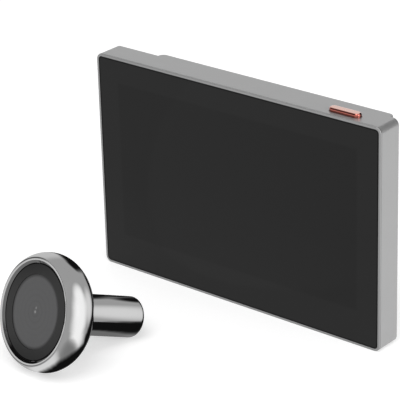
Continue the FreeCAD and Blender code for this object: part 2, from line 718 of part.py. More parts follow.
def make_glass():
    """The black front glass, flush with the lip, and the tape that bonds it to the ledge."""
    body = new_body("front_glass")
    outline = new_sketch(body, "glass_outline", "XZ_Plane", GLASS_BACK)
    inset = "lip_width + fit_gap"
    add_rectangle(outline, f"{inset} - {HALF_WIDTH}", f"{HALF_WIDTH} - ({inset})",
                  inset, f"{BODY_HEIGHT} - ({inset})")
    sheet_pad = pad(body, "glass_sheet", outline, "glass_thickness")
    dress(body, "glass_corners", "Fillet", sheet_pad, "glass_corner - fit_gap",
          lambda edge: straight(edge, "y"))
    edge_inset = f"({inset} + tape_inset)"
    side, end = (f"({margin} - module_gap - tape_clear)" for margin in ("margin_side", "margin_end"))
    outer = block("tape_outer", f"{edge_inset} - {HALF_WIDTH}", GLASS_BACK, edge_inset,
                  f"{BODY_WIDTH} - 2 * {edge_inset}", "tape_thickness", f"{BODY_HEIGHT} - 2 * {edge_inset}")
    hole = block("tape_hole", f"{side} - {HALF_WIDTH}", f"{GLASS_BACK} - fit_gap", end,
                 f"{BODY_WIDTH} - 2 * {side}", "tape_thickness + 2 * fit_gap", f"{BODY_HEIGHT} - 2 * {end}")
    node(cut("glass_tape", outer, hole), "glass_tape")


def make_display():
    """A 4.3 inch display: cell with its polariser, backlight tray with its light guide, and flex."""
    low = "margin_end"
    cell = block("cell", f"-{MODULE_WIDTH} / 2", f"{GLASS_BACK} + polariser", low,
                 MODULE_WIDTH, "panel_thickness - polariser", MODULE_HEIGHT)
    film = block("polariser_film", "-active_width / 2", GLASS_BACK,
                 "margin_end + border_foot", "active_width", "polariser", "active_height")
    node(joined("display_panel", cell, film), "display_panel")
    tray = block("tray_outer", f"-{MODULE_WIDTH} / 2", PANEL_BACK, low,
                 MODULE_WIDTH, "backlight_thickness", MODULE_HEIGHT)
    guide_sizes = (f"{low} + tray_wall", f"{MODULE_WIDTH} - 2 * tray_wall",
                   "backlight_thickness - tray_wall", f"{MODULE_HEIGHT} - 2 * tray_wall")
    hollow = block("tray_hollow", f"-{MODULE_WIDTH} / 2 + tray_wall", PANEL_BACK, *guide_sizes)
    node(cut("backlight_tray", tray, hollow), "backlight_tray")
    guide = block("light_guide", f"-{MODULE_WIDTH} / 2 + tray_wall", PANEL_BACK, *guide_sizes)
    node(guide, "light_guide")

    under = f"({low} - ribbon_sag)"
    left = "ribbon_x - ribbon_width / 2"
    bend = block("ribbon_bend", left, RIBBON_FRONT, under,
                 "ribbon_width", f"{MODULE_BACK} - {RIBBON_FRONT} + ribbon_thickness", "ribbon_thickness")
    root = block("ribbon_root", left, RIBBON_FRONT, under,
                 "ribbon_width", "ribbon_thickness", "ribbon_sag")
    rise = block("ribbon_rise", left, MODULE_BACK, under,
                 "ribbon_width", "ribbon_thickness", f"{CONNECTOR_Z} + connector_height - {under}")
    corner = f"({BOARD_LEFT} - ribbon_step)"
    step = block("ribbon_step", corner, MODULE_BACK, CONNECTOR_Z, "ribbon_thickness",
                 f"{BOARD_BACK} - {MODULE_BACK} + ribbon_thickness", "connector_height")
    link = block("ribbon_link", left + " + ribbon_width / 2", MODULE_BACK, CONNECTOR_Z,
                 f"{corner} - ribbon_x + ribbon_thickness", "ribbon_thickness", "connector_height")
    tail = block("ribbon_tail", corner, BOARD_BACK, CONNECTOR_Z,
                 "ribbon_step + connector_inset", "ribbon_thickness", "connector_height")
    node(joined("display_ribbon", bend, root, rise, step, link, tail), "display_ribbon")
    connector = block("connector_shell", f"{BOARD_LEFT} + connector_inset", BOARD_BACK, CONNECTOR_Z,
                      "connector_width", "connector_thickness", "connector_height")
    node(connector, "display_connector")


def make_board():
    """The main board behind the display, with a notch that the side push switch sits in."""
    body = new_body("main_board")
    outline = new_sketch(body, "board_outline", "XZ_Plane", BOARD_BACK)
    add_rectangle(outline, BOARD_LEFT, BOARD_RIGHT, "board_bottom", BOARD_TOP)
    sheet_pad = pad(body, "board_sheet", outline, "board_thickness")
    dress(body, "board_corners", "Fillet", sheet_pad, "board_round", lambda edge: straight(edge, "y"))
    notch = new_sketch(body, "notch_outline", "XZ_Plane", f"{BOARD_FRONT} - fit_gap")
    add_rectangle(notch, f"{BUTTON_X} - switch_width / 2 - fit_gap",
                  f"{BUTTON_X} + switch_width / 2 + fit_gap",
                  f"{SWITCH_FOOT} - fit_gap", f"{BOARD_TOP} + fit_gap")
    pocket(body, "switch_notch", notch, "board_thickness + 2 * fit_gap")
    holes = new_sketch(body, "screw_hole_outline", "XZ_Plane", f"{BOARD_FRONT} - fit_gap")
    for index, (x, z) in enumerate(BOARD_SCREW_PLACES):
        add_circle(holes, x, z, "screw_radius", f"_{index}")
    pocket(body, "screw_holes", holes, "board_thickness + 2 * fit_gap")
    screws = []
    for index, (x, z) in enumerate(BOARD_SCREW_PLACES):
        shank = rod(f"board_shank_{index}", x, BOARD_FRONT, z, "screw_radius",
                    "screw_length - fit_gap", "y")
        head = rod(f"board_head_{index}", x, f"{BOARD_FRONT} - board_head_height", z,
                   "screw_head_radius", "board_head_height", "y")
        screws.append(joined(f"board_screw_{index}", shank, head))
    group("board_screws", screws)


def on_board(name, x, z, width, height, thickness):
    """A box on the back of the main board, centred at a place."""
    return block(name, f"({x}) - ({width}) / 2", BOARD_BACK, f"({z}) - ({height}) / 2",
                 width, thickness, height)


def make_board_parts():
    """What the main board carries on its back."""
    can = on_board("shield_can", COLUMN_X, "shield_z", "shield_side", "shield_side", "shield_height")
    hollow = on_board("shield_hollow", COLUMN_X, "shield_z", "shield_side - 2 * shield_wall",
                      "shield_side - 2 * shield_wall", "shield_height - shield_wall")
    node(cut("processor_shield", can, hollow), "processor_shield")
    chip = on_board("processor_body", COLUMN_X, "shield_z", "processor_side", "processor_side",
                    "shield_height - 2 * shield_wall")
    node(chip, "processor_chip")
    carrier = on_board("radio_carrier", RADIO_X, "radio_z", "radio_width", "radio_height",
                       "board_thickness")
    cover = on_board("radio_cover", RADIO_X, "radio_z", "radio_width - board_thickness",
                     "radio_height - 4 * board_thickness", "2.5 * board_thickness")
    node(joined("radio_module", carrier, cover), "radio_module")
    node(on_board("memory_chip_body", RADIO_X, "chip_z", "chip_width", "chip_height", "chip_thickness"),
         "memory_chip")
    shell = on_board("socket_shell", COLUMN_X, SOCKET_Z, "socket_width", "socket_height", "socket_reach")
    mouth = block("socket_mouth", f"{COLUMN_X} - socket_width / 2 + socket_wall",
                  f"{BOARD_BACK} + socket_wall", f"{SOCKET_Z} - socket_height / 2 + socket_wall",
                  "socket_width - 2 * socket_wall", "socket_reach", "socket_height - 2 * socket_wall")
    node(cut("camera_socket", shell, mouth), "camera_socket")
    node(on_board("battery_plug_body", BATTERY_PLUG_X, BATTERY_PLUG_Z, "battery_plug_width",
                  "battery_plug_height", "battery_plug_thickness"), "battery_connector")
    node(on_board("mic_body", MIC_X, "board_bottom + mic_width / 2", "mic_width", "mic_width",
                  "mic_thickness"), "microphone")

    port = new_body("usb_port")
    middle = f"{BOARD_BACK} + usb_thickness / 2"
    outline = new_sketch(port, "usb_outline", "XY_Plane", "port_gap")
    add_slot(outline, USB_X, middle, "usb_width", "usb_thickness")
    pad(port, "usb_shell", outline, "usb_length")
    hollow = new_sketch(port, "usb_hollow_outline", "XY_Plane", "port_gap + usb_length - usb_wall")
    add_slot(hollow, USB_X, middle, "usb_width - 2 * usb_wall", "usb_thickness - 2 * usb_wall")
    pocket(port, "usb_hollow", hollow, "usb_length")
    tongue = new_sketch(port, "usb_tongue_outline", "XY_Plane", "port_gap + usb_wall")
    add_rectangle(tongue, f"{USB_X} - usb_tongue / 2", f"{USB_X} + usb_tongue / 2",
                  f"{middle} - usb_wall", f"{middle} + usb_wall")
    pad(port, "usb_tongue_pad", tongue, "usb_length - 1.5 * usb_wall")
    card = block("card_shell", f"{CARD_X} - card_width / 2", BOARD_BACK, "wall + port_gap",
                 "card_width", "card_thickness", "card_length")
    slot = block("card_hollow", f"{CARD_X} - card_slot_width / 2", f"{BOARD_BACK} + usb_wall",
                 "wall", "card_slot_width", "card_slot_thickness - usb_wall / 2", "card_length - card_stop")
    node(cut("card_socket", card, slot), "card_socket")


def make_battery():
    """The pouch cell, the foam that holds it to the back, the loudspeaker and the antenna."""
    body = new_body("battery_cell")
    back = f"({BLOCK_INNER} - pad_thickness)"
    outline = new_sketch(body, "battery_outline", "XZ_Plane", back)
    add_rectangle(outline, BATTERY_LEFT, BATTERY_RIGHT, BATTERY_FOOT, BATTERY_TOP)
    pouch = pad(body, "battery_pouch", outline, "battery_thickness")
    dress(body, "battery_edges", "Fillet", pouch, "battery_round", lambda edge: straight(edge, "z"))
    foam = block("foam_pad", f"{BATTERY_LEFT} + battery_round", back, f"{BATTERY_FOOT} + battery_round",
                 f"{BATTERY_RIGHT} - {BATTERY_LEFT} - 2 * battery_round", "pad_thickness",
                 f"{BATTERY_TOP} - {BATTERY_FOOT} - 2 * battery_round")
    node(foam, "battery_pad")

    speaker_front = f"({BODY_INNER} - speaker_thickness)"
    case = block("speaker_case", "speaker_x - speaker_width / 2", speaker_front,
                 f"{SPEAKER_Z} - speaker_height / 2", "speaker_width", "speaker_thickness",
                 "speaker_height")
    bowl = rod("speaker_bowl", "speaker_x", f"{BODY_INNER} - speaker_thickness / 3", SPEAKER_Z,
               "speaker_height / 2 - tray_wall", "speaker_thickness", "y")
    node(cut("speaker", case, bowl), "speaker")
    strip = block("antenna_strip", f"{ANTENNA_X} - antenna_width / 2", f"{BODY_INNER} - antenna_thickness",
                  "antenna_z - antenna_height / 2", "antenna_width", "antenna_thickness", "antenna_height")
    node(strip, "wifi_antenna")


def make_button():
    """The copper button in the top wall, held by a flange under it, and the switch below."""
    body = new_body("power_button")
    cap = new_sketch(body, "cap_outline", "XY_Plane", TOP_INNER)
    add_slot(cap, BUTTON_X, BUTTON_Y, "button_length", "button_width")
    upper = pad(body, "cap", cap, "wall + button_proud")
    top = number(f"{BODY_HEIGHT} + button_proud")
    dress(body, "cap_edge", "Fillet", upper, "button_round",
          lambda edge: edge.BoundBox.ZMin > top - 0.01)
    flange = new_sketch(body, "flange_outline", "XY_Plane", FLANGE_FOOT)
    add_rectangle(flange, f"{BUTTON_X} - button_length / 2 - flange_reach",
                  f"{BUTTON_X} + button_length / 2 + flange_reach",
                  f"{BUTTON_Y} - button_width / 2", f"{BUTTON_Y} + button_width / 2")
    pad(body, "flange", flange, "flange_height")
    plunger = rod("plunger_pin", BUTTON_X, PLUNGER_Y, f"{FLANGE_FOOT} - plunger_length",
                  "plunger_radius", "plunger_length")
    node(plunger, "switch_plunger")

    case = block("switch_case", f"{BUTTON_X} - switch_width / 2", f"{PLUNGER_Y} - switch_thickness / 2",
                 SWITCH_FOOT, "switch_width", "switch_thickness", "switch_height")
    lugs = block("switch_lugs", f"{BUTTON_X} - switch_width / 2 - switch_lug", BOARD_BACK,
                 f"{SWITCH_FOOT} + fit_gap", "switch_width + 2 * switch_lug", "switch_lug / 2",
                 "switch_lug")
    well = rod("switch_well", BUTTON_X, PLUNGER_Y,
               f"{FLANGE_FOOT} - plunger_length - button_travel - plunger_gap",
               "plunger_radius + plunger_gap", "switch_height")
    node(cut("power_switch", joined("switch_solid", case, lugs), well), "power_switch")


def turned(name, points):
    """A piece turned about the camera's axis from pairs of radius and height."""
    body = new_body(name)
    profile = new_sketch(body, name + "_profile", "XZ_Plane")
    add_profile(profile, points)
    revolve(body, name + "_turning", profile)
    camera_nodes.append(body)
    return body


def camera_piece(obj):
    camera_nodes.append(obj)
    return obj


def around(pieces_count, circle, first=0.0):
    """Places on a circle about the camera's axis, as pairs of expressions."""
    turns = [first + 360.0 * index / pieces_count for index in range(pieces_count)]
    return [(f"({circle}) * cos({turn} * 1deg)", f"({circle}) * sin({turn} * 1deg)") for turn in turns]


def make_camera_head():
    """The chrome head: one round bulge from the crest of its rim to the flat back."""
    body = new_body("camera_head")
    camera_nodes.append(body)
    profile = new_sketch(body, "head_profile", "XZ_Plane")
    centre, bulge = number(BULGE_CENTRE), number("bulge_radius")
    crest, back, turn = number("crest_height"), number(BACK_DEPTH), number("crest_round")
    rim_centre = Vector(centre + math.sqrt((bulge - turn) ** 2 - (crest - turn) ** 2), crest - turn, 0)
    start = -math.asin(back / bulge)
    end = math.atan2(rim_centre.y, rim_centre.x - centre)
    circle = Part.Circle(Vector(centre, 0, 0), Vector(0, 0, 1), bulge)
    arc = profile.addGeometry(Part.ArcOfCircle(circle, start, end), False)
    rim_circle = Part.Circle(rim_centre, Vector(0, 0, 1), turn)
    rim = profile.addGeometry(Part.ArcOfCircle(rim_circle, end, math.pi / 2), False)
    profile.addConstraint(Sketcher.Constraint("Tangent", arc, 2, rim, 1))
    hold(profile, Sketcher.Constraint("Radius", rim, turn), "rim_round", "crest_round")
    hold(profile, Sketcher.Constraint("Radius", arc, bulge), "bulge", "bulge_radius")
    hold(profile, Sketcher.Constraint("DistanceX", -1, 1, arc, 3, centre), "bulge_centre", BULGE_CENTRE)
    profile.addConstraint(Sketcher.Constraint("PointOnObject", arc, 3, -1))
    inside = ((f"{RING_RADIUS} + camera_fit", FACE_HEIGHT), (f"{RING_RADIUS} + camera_fit", SEAT_HEIGHT),
              (CAVITY_RADIUS, SEAT_HEIGHT), (CAVITY_RADIUS, FLOOR_TOP),
              (f"{COLLAR_RADIUS} + camera_fit", FLOOR_TOP),
              (f"{COLLAR_RADIUS} + camera_fit", f"-1 * {BACK_DEPTH}"))
    corners = ((CREST_RADIUS, "crest_height"),) + inside
    spots = [profile.getPoint(rim, 2)] + [Vector(number(x), number(z), 0) for x, z in corners]
    spots.append(profile.getPoint(arc, 1))
    lines = [profile.addGeometry(Part.LineSegment(first, second), False)
             for first, second in zip(spots, spots[1:])]
    profile.addConstraint(Sketcher.Constraint("Tangent", rim, 2, lines[0], 1))
    profile.addConstraint(Sketcher.Constraint("Horizontal", lines[0]))
    for index, (x, z) in enumerate(corners):
        profile.addConstraint(Sketcher.Constraint("Coincident", lines[index], 2, lines[index + 1], 1))
        spot = spots[index + 1]
        hold(profile, Sketcher.Constraint("DistanceX", -1, 1, lines[index], 2, spot.x), f"across{index}", x)
        hold(profile, Sketcher.Constraint("DistanceY", -1, 1, lines[index], 2, spot.y), f"up{index}", z)
    profile.addConstraint(Sketcher.Constraint("Coincident", lines[-1], 2, arc, 1))
    profile.addConstraint(Sketcher.Constraint("Horizontal", lines[-1]))
    turning = revolve(body, "head_turning", profile)
    dress(body, "crest_inner_edge", "Chamfer", turning, "crest_round / 2", lambda edge: (
        edge.BoundBox.ZMin > crest - 0.01 and edge.BoundBox.XMax < number(CREST_RADIUS) + 0.01))

    boss = new_sketch(body, "camera_boss_outline", "XY_Plane", f"{FLOOR_TOP} - floor_thickness / 2")
    pilot = new_sketch(body, "camera_pilot_outline", "XY_Plane", CAMERA_BOARD_BACK)
    for index, (x, y) in enumerate(around(CAMERA_SCREWS, CAMERA_BOSS_CIRCLE)):
        add_circle(boss, x, y, "camera_boss_radius", f"_{index}")
        add_circle(pilot, x, y, "screw_radius", f"_{index}")
    pad(body, "camera_bosses", boss, f"{CAMERA_BOARD_BACK} - {FLOOR_TOP} + floor_thickness / 2")
    pocket(body, "camera_pilots", pilot, "screw_length - camera_board_thickness")


def make_camera_shells():
    """The tube through the door, the gasket behind the head, and the window in its black ring."""
    tube = turned("camera_tube", (
        ("tube_bore", "-tube_reach"), ("tube_radius", "-tube_reach"), ("tube_radius", GASKET_BACK),
        (COLLAR_RADIUS, GASKET_BACK), (COLLAR_RADIUS, FLOOR_TOP),
        (FLANGE_RADIUS, FLOOR_TOP), (FLANGE_RADIUS, FLANGE_TOP), ("tube_bore", FLANGE_TOP)))
    end, radius = -number("tube_reach"), number("tube_radius")
    dress(tube, "tube_end", "Fillet", tube.Tip, "tube_round", lambda edge: (
        edge.BoundBox.ZMax < end + 0.01 and edge.BoundBox.XMax > radius - 0.01))
    flat = f"{BULGE_CENTRE} + sqrt(bulge_radius ^ 2 - {BACK_DEPTH} ^ 2) - gasket_margin"
    turned("door_gasket", (
        (f"{COLLAR_RADIUS} + camera_fit", GASKET_BACK), (flat, GASKET_BACK), (flat, f"-1 * {BACK_DEPTH}"),
        (f"{COLLAR_RADIUS} + camera_fit", f"-1 * {BACK_DEPTH}")))
    ring_foot = f"({SEAT_HEIGHT} + seal_thickness)"
    turned("window_ring", (
        (f"{WINDOW_RADIUS} - window_ledge", ring_foot), (RING_RADIUS, ring_foot),
        (RING_RADIUS, FACE_HEIGHT), (f"{WINDOW_RADIUS} + camera_fit", FACE_HEIGHT),
        (f"{WINDOW_RADIUS} + camera_fit", WINDOW_BACK), (f"{WINDOW_RADIUS} - window_ledge", WINDOW_BACK)))
    turned("camera_window", (
        ("0", WINDOW_BACK), (WINDOW_RADIUS, WINDOW_BACK), (WINDOW_RADIUS, WINDOW_TOP),
        ("0", WINDOW_TOP)))
    turned("window_seal", (
        (f"{RING_RADIUS} - seal_width", SEAT_HEIGHT), (RING_RADIUS, SEAT_HEIGHT),
        (RING_RADIUS, ring_foot), (f"{RING_RADIUS} - seal_width", ring_foot)))


def make_camera_inside():
    """Board, sensor, lens and lamps behind the window."""
    board = turned("camera_board", (
        ("0", CAMERA_BOARD_BACK), (CAMERA_BOARD_RADIUS, CAMERA_BOARD_BACK),
        (CAMERA_BOARD_RADIUS, CAMERA_BOARD_TOP), ("0", CAMERA_BOARD_TOP)))
    holes = new_sketch(board, "camera_hole_outline", "XY_Plane", f"{CAMERA_BOARD_TOP} + camera_fit")
    places = around(CAMERA_SCREWS, CAMERA_BOSS_CIRCLE)
    for index, (x, y) in enumerate(places):
        add_circle(holes, x, y, "screw_radius", f"_{index}")
    pocket(board, "camera_holes", holes, "camera_board_thickness + 2 * camera_fit")
    screws = []
    for index, (x, y) in enumerate(places):
        shank = rod(f"camera_shank_{index}", x, y, f"{CAMERA_BOARD_TOP} - screw_length + camera_fit",
                    "screw_radius", "screw_length - camera_fit")
        head = rod(f"camera_screw_head_{index}", x, y, CAMERA_BOARD_TOP, "screw_head_radius",
                   "screw_head_height")
        screws.append(joined(f"camera_screw_{index}", shank, head))
    camera_piece(group("camera_screws", screws))

    base = block("holder_base", "-holder_side / 2", "-holder_side / 2", CAMERA_BOARD_TOP,
                 "holder_side", "holder_side", "holder_height")
    room = block("holder_room", "-sensor_width / 2 - sensor_gap", "-sensor_height / 2 - sensor_gap",
                 f"{CAMERA_BOARD_TOP} - camera_fit", "sensor_width + 2 * sensor_gap",
                 "sensor_height + 2 * sensor_gap", "sensor_thickness + sensor_gap + camera_fit")
    light = rod("holder_light", "0", "0", CAMERA_BOARD_TOP, "sensor_height / 2", "2 * holder_height")
    camera_piece(node(cut("lens_holder", base, room, light), "lens_holder"))
    chip = block("sensor_body", "-sensor_width / 2", "-sensor_height / 2", CAMERA_BOARD_TOP,
                 "sensor_width", "sensor_height", "sensor_thickness")
    camera_piece(group("image_sensor", [chip]))
    plug = block("camera_plug_body", "-plug_width / 2", "-plug_height / 2",
                 f"{FLANGE_TOP} + 2 * camera_fit", "plug_width", "plug_height",
                 "camera_board_gap - 2 * camera_fit")
    camera_piece(group("camera_connector", [plug]))

    foot = f"({CAMERA_BOARD_TOP} + holder_height)"
    inner = "(barrel_radius - barrel_wall)"
    turned("lens_barrel", (
        (inner, foot), ("barrel_radius", foot), ("barrel_radius", BARREL_TOP),
        ("front_lens_radius - barrel_wall", BARREL_TOP),
        ("front_lens_radius - barrel_wall", f"{BARREL_TOP} - barrel_wall / 2"),
        (inner, f"{BARREL_TOP} - barrel_wall / 2")))
    front_top = f"({BARREL_TOP} - barrel_wall / 2)"
    turned("front_lens", (
        ("0", f"{front_top} - front_lens_thickness"), (inner, f"{front_top} - front_lens_thickness"),
        (inner, front_top), ("front_lens_radius - barrel_wall", front_top),
        ("(front_lens_radius - barrel_wall) * 0.7", f"{front_top} + barrel_wall * 0.5"),
        ("(front_lens_radius - barrel_wall) * 0.35", f"{front_top} + barrel_wall * 0.75"),
        ("0", f"{front_top} + barrel_wall * 0.82")))
    turned("rear_lens", (
        ("0", f"{foot} + barrel_wall / 2"), (inner, foot), (inner, f"{foot} + rear_lens_thickness"),
        ("0", f"{foot} + rear_lens_thickness")))
    turned("lens_shroud", (
        ("barrel_radius + camera_fit", foot), ("barrel_radius + shroud_wall", foot),
        ("barrel_radius + shroud_wall", WINDOW_BACK), ("barrel_radius + camera_fit", WINDOW_BACK)))
    lamps = []
    for index, (x, y) in enumerate(around(INFRARED_LEDS, "led_circle", 180.0 / INFRARED_LEDS)):
        base = block(f"lamp_base_{index}", f"{x} - led_base", f"{y} - led_base", CAMERA_BOARD_TOP,
                     "2 * led_base", "2 * led_base", "led_height / 3")
        dome = rod(f"lamp_dome_{index}", x, y, CAMERA_BOARD_TOP, "led_radius", "led_height")
        lamps.append(joined(f"lamp_{index}", base, dome))
    camera_piece(group("infrared_leds", lamps))


def camera_pose():
    """The lie of the camera unit: its head's bulge and the rounded end of its tube both touch Z = 0."""
    bulge, end = number("bulge_radius"), number("tube_round")
    rise = number(BULGE_CENTRE) - (number("tube_radius") - end)
    run = number("tube_reach") - end
    tilt = math.asin((bulge - end) / math.hypot(run, rise)) + math.atan2(rise, run)
    height = number(BULGE_CENTRE) * math.cos(tilt) + bulge
    turn = Rotation(Vector(0, 0, 1), -number("camera_turn"))
    lean = Rotation(Vector(1, 0, 0), 90 - math.degrees(tilt))
    spot = Vector(-number("camera_left"), number(f"{FRONT} - camera_ahead"), height)
    return Placement(spot, turn * lean)


camera_nodes = []
BOARD_SCREW_PLACES = [(x, z) for z in (TOP_SCREWS, "low_boss_z") for x in (LEFT_SCREW, RIGHT_SCREW)]

make_housing()
make_bezel()
make_glass()
make_display()
make_board()
make_board_parts()
make_battery()
make_button()
make_camera_head()
make_camera_shells()
make_camera_inside()
pose = camera_pose()
for piece in camera_nodes:
    piece.Placement = pose
doc.removeObject("Working")
doc.recompute()

for obj in doc.Objects:
    if "Invalid" in obj.State or "Error" in obj.State:
        raise RuntimeError(f"{obj.Label} failed: {obj.State}")
for piece in nodes:
    if piece.Shape.isNull() or not piece.Shape.isValid():
        raise RuntimeError(f"{piece.Label} has no valid shape")

os.makedirs("parts", exist_ok=True)
for piece in nodes:
    piece.Shape.exportStep(os.path.join("parts", piece.Label + ".step"))
lean = math.degrees(math.asin(pose.Rotation.multVec(Vector(0, 0, 1)).z))
print(f"{len(nodes)} parts, camera tilt {lean:.1f} degrees")
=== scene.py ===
"""Looks of the wireless door viewer: screen unit behind, chrome camera unit lying in front."""
import json
import math

import bmesh
import bpy
from mathutils import Matrix, Vector


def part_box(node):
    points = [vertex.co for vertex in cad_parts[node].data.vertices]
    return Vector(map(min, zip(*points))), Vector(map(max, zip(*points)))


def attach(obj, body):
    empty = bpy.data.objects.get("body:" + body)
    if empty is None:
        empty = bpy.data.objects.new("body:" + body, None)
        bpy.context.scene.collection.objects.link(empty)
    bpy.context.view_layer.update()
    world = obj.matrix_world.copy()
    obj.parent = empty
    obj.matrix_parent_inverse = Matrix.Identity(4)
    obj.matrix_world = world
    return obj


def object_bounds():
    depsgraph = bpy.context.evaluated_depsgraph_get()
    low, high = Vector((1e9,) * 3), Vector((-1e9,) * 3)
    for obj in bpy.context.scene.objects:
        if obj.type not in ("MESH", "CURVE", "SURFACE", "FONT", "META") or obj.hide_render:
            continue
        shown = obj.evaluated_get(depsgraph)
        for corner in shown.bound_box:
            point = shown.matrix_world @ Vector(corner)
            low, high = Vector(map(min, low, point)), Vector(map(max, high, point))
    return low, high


MM = 0.001

# The photograph's view: place of the lens, direction and roll in degrees, focal length and sensor in
# millimetres, and the nearest and farthest that shows, in metres.
CAMERA_PLACE = Vector((0.4044, -0.5042, 0.3223))
CAMERA_AZIMUTH = 39.9625
CAMERA_ELEVATION = 23.911
CAMERA_ROLL = -1.6491
CAMERA_LENS = 199.7
SENSOR_WIDTH = 36.0
CAMERA_REACH = (0.01, 20.0)

# Corners of the screen unit's front, and the fine dark lines of painted shade that stand for the gaps its
# parts leave between them: the widths of the parting line and of the line round the glass, how far that
# one reaches past the glass, and how far both stand out so that they show, less at the foot, which is on
# the floor.
BODY_CORNER = 2.2 * MM
GLASS_CORNER = 1.24 * MM
SEAM_WIDTH = 0.05 * MM
HAIRLINE_WIDTH = 0.42 * MM
GLASS_GAP = 0.06 * MM
SEAM_PROUD = 0.02 * MM
SEAM_PROUD_FOOT = 0.01 * MM
CORNER_STEPS = 12

# The black groove round the ring of the camera unit's window, a near-black ring of painted shade: its
# width, how far it stands out of the ring's face and lies under it, and its facets.
GROOVE_WIDTH = 0.34 * MM
GROOVE_PROUD = 0.015 * MM
GROOVE_STEPS = 128

# The glass: how far inside the display's edges its lit area ends at the sides, the top and the foot,
# how soft that end is, how light the glass is round the lit area and over it, the painted reflection
# added towards the glass's own foot, how strongly it mirrors, the scale of its wipe marks and the
# roughness they give.
LIT_SIDE = 5.25 * MM
LIT_TOP = 4.95 * MM
LIT_FOOT = 8.35 * MM
LIT_SOFT = 0.5 * MM
GLASS_ROUND = 0.0105
GLASS_LIT = 0.0073
GLASS_FOOT_REFLECTION = 0.0045
GLASS_MIRROR = 0.15
WIPE_SCALE = 45.0
GLASS_ROUGH = (0.05, 0.09)

# The window: its dark colour and its grey one, the soft edge of the grey disc and the share of grey
# outside it, the faint rings of the lens with their strength in the middle and at their reach, two
# glints by height over the centre, radius and strength with the softness of their edges in radii, how
# strongly it mirrors, the scale of its grain and the roughness that it gives.
WINDOW_DARK = (0.004, 0.004, 0.004)
WINDOW_GREY = (0.097, 0.097, 0.099)
WINDOW_FADE = (10.3 * MM, 11.5 * MM)
WINDOW_OUTSIDE = 0.3
LENS_RING_STEP = 1.9 * MM
LENS_RING_REACH = 9 * MM
LENS_RING_LEVELS = (0.1, 0.02)
GLINTS = ((0.0, 0.4 * MM, 0.22), (1.3 * MM, 0.35 * MM, 0.14))
GLINT_EDGE = (0.5, 1.5)
WINDOW_MIRROR = 0.35
WINDOW_GRAIN = 900.0
WINDOW_ROUGH = (0.16, 0.22)

# In every finish: the detail of the fine grain, the part of it that changes the gloss, the strength of
# its relief, and the scale and detail of the broad, slow change of the colour.
FINE_DETAIL = 3.0
GRAIN_PART = (0.3, 0.7)
RELIEF_STRENGTH = 0.6
BROAD_SCALE = 60.0
BROAD_DETAIL = 2.0

# Finish of each material slot and of the painted gap shade: colour, roughness, metal, how strongly it
# mirrors, the size of its grain and how deep it is, both in millimetres, how far colour and roughness
# vary, and how much clear coat lies on it. Where the faces that look one way get painted light or shade,
# the last entry has that way, how far a face has to look along it for the first and for the whole
# change, and the painted colour: painted shade on the silver's faces that look to the front, and a
# painted sheen on the copper's top.
FINISHES = {
    # painted shade: the silver's faces that look to the front are painted darker
    "satin_silver": dict(colour=(0.373, 0.373, 0.374), rough=0.36, metal=0.62, grain=0.35, relief=0.002,
                         vary=0.03, painted_facing_light=((0, -1, 0), 0.5, 0.95, (0.28, 0.28, 0.281))),
    # painted sheen: the copper's top is painted lighter and pinker
    "copper": dict(colour=(0.42, 0.1, 0.07), rough=0.16, metal=1.0, grain=0.3, relief=0.001, coat=1.0,
                   painted_facing_light=((0, 0, 1), 0.75, 0.99, (0.82, 0.5, 0.42))),
    "chrome": dict(colour=(0.86, 0.86, 0.86), rough=0.05, metal=1.0, grain=4.0, relief=0.0005, vary=0.02),
    "black_plastic": dict(colour=(0.012, 0.012, 0.012), rough=0.3, grain=0.4, relief=0.003),
    "black_rubber": dict(colour=(0.03, 0.03, 0.03), rough=0.75, grain=0.3, relief=0.01),
    "clear_lens": dict(colour=(0.1, 0.11, 0.14), rough=0.04, grain=6.0, relief=0.0005, coat=0.6),
    "black_lens_metal": dict(colour=(0.04, 0.04, 0.045), rough=0.4, metal=0.6, grain=0.5, relief=0.004),
    "circuit_board": dict(colour=(0.02, 0.12, 0.06), rough=0.35, grain=1.4, relief=0.02, vary=0.35),
    "chip_black": dict(colour=(0.03, 0.03, 0.03), rough=0.6, grain=0.25, relief=0.008),
    "tinned_metal": dict(colour=(0.65, 0.65, 0.63), rough=0.35, metal=1.0, grain=1.0, relief=0.006),
    "steel": dict(colour=(0.55, 0.55, 0.56), rough=0.3, metal=1.0, grain=0.5, relief=0.004),
    "white_plastic": dict(colour=(0.75, 0.74, 0.7), rough=0.45, grain=0.5, relief=0.004),
    "cell_silver": dict(colour=(0.55, 0.56, 0.58), rough=0.4, metal=0.5, grain=2.5, relief=0.03),
    "black_tape": dict(colour=(0.02, 0.02, 0.02), rough=0.85, grain=0.25, relief=0.02),
    "flex_amber": dict(colour=(0.5, 0.25, 0.05), rough=0.35, grain=0.8, relief=0.01, vary=0.2),
    "display_cell": dict(colour=(0.02, 0.02, 0.025), rough=0.15, grain=0.5, relief=0.001),
    "light_guide": dict(colour=(0.85, 0.87, 0.88), rough=0.5, grain=0.6, relief=0.004),
    # painted shade: the near-black finish of the strips that stand for the shade in the gaps
    "painted_gap_shade": dict(colour=(0.004, 0.004, 0.004), rough=0.8, mirror=0.1, grain=0.5),
}

# The floor: its size, how far under the set it lies, its colour, and the light that it adds where it is
# seen directly or mirrored. The surround's level, for the light that matt surfaces gather.
FLOOR_SIZE = 8.0
FLOOR_DROP = 0.02 * MM
FLOOR_COLOUR = (0.75, 0.75, 0.75)
FLOOR_GLOW = 0.45
SURROUND_LEVEL = 0.55

# Square soft lamps: direction from the set, distance, size and power.
LAMPS = {
    "key": dict(azimuth=15.0, elevation=62.0, distance=1.1, size=0.7, power=4.4),
    "fill": dict(azimuth=85.0, elevation=20.0, distance=1.2, size=0.6, power=5.1),
}

